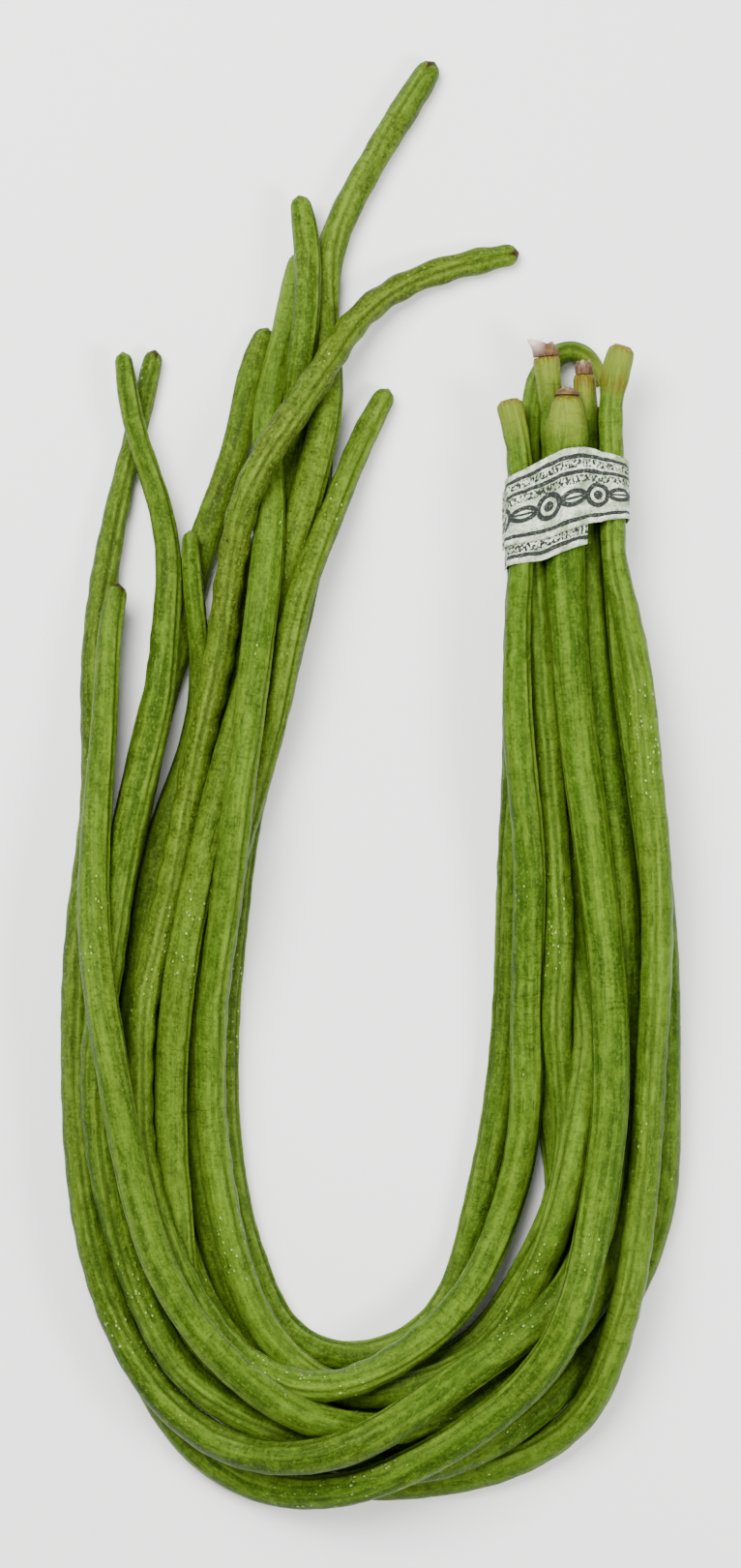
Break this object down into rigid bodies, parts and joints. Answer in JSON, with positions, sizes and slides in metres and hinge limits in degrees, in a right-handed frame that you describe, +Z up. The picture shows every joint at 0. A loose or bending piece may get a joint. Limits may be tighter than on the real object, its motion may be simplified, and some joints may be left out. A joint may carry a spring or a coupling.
{
  "type": "yardlong bean bunch",
  "caption": "Bunch of long slender green pods folded into a U and lying flat, the stem ends bound together by a wound paper tape and the tips fanning out.",
  "frame": {"origin": "on the ground, under the middle of the bunch's bounding box", "axes": "+Y along the U's legs, towards the bound stem ends and the tips; +X towards the leg that the tape binds; +Z up, off the ground"},
  "size_m": [0.1739, 0.4088, 0.0378],
  "materials": {
    "pod_skin": "fresh green pod skin, faintly waxy, satin",
    "dry_calyx": "dry brown papery flower remnant, matte",
    "paper_tape": "crinkled pale grey-green printed paper, matte"
  },
  "bodies": {
    "root": {"bean_01": "pod_skin", "bean_02": "pod_skin", "bean_03": "pod_skin", "bean_04": "pod_skin", "bean_05": "pod_skin", "bean_06": "pod_skin", "bean_07": "pod_skin", "bean_08": "pod_skin", "bean_09": "pod_skin", "bean_10": "pod_skin", "bean_11": "pod_skin", "calyx_01": "dry_calyx", "calyx_02": "dry_calyx", "calyx_03": "dry_calyx", "paper_band": "paper_tape"}
  },
  "joints": []
}
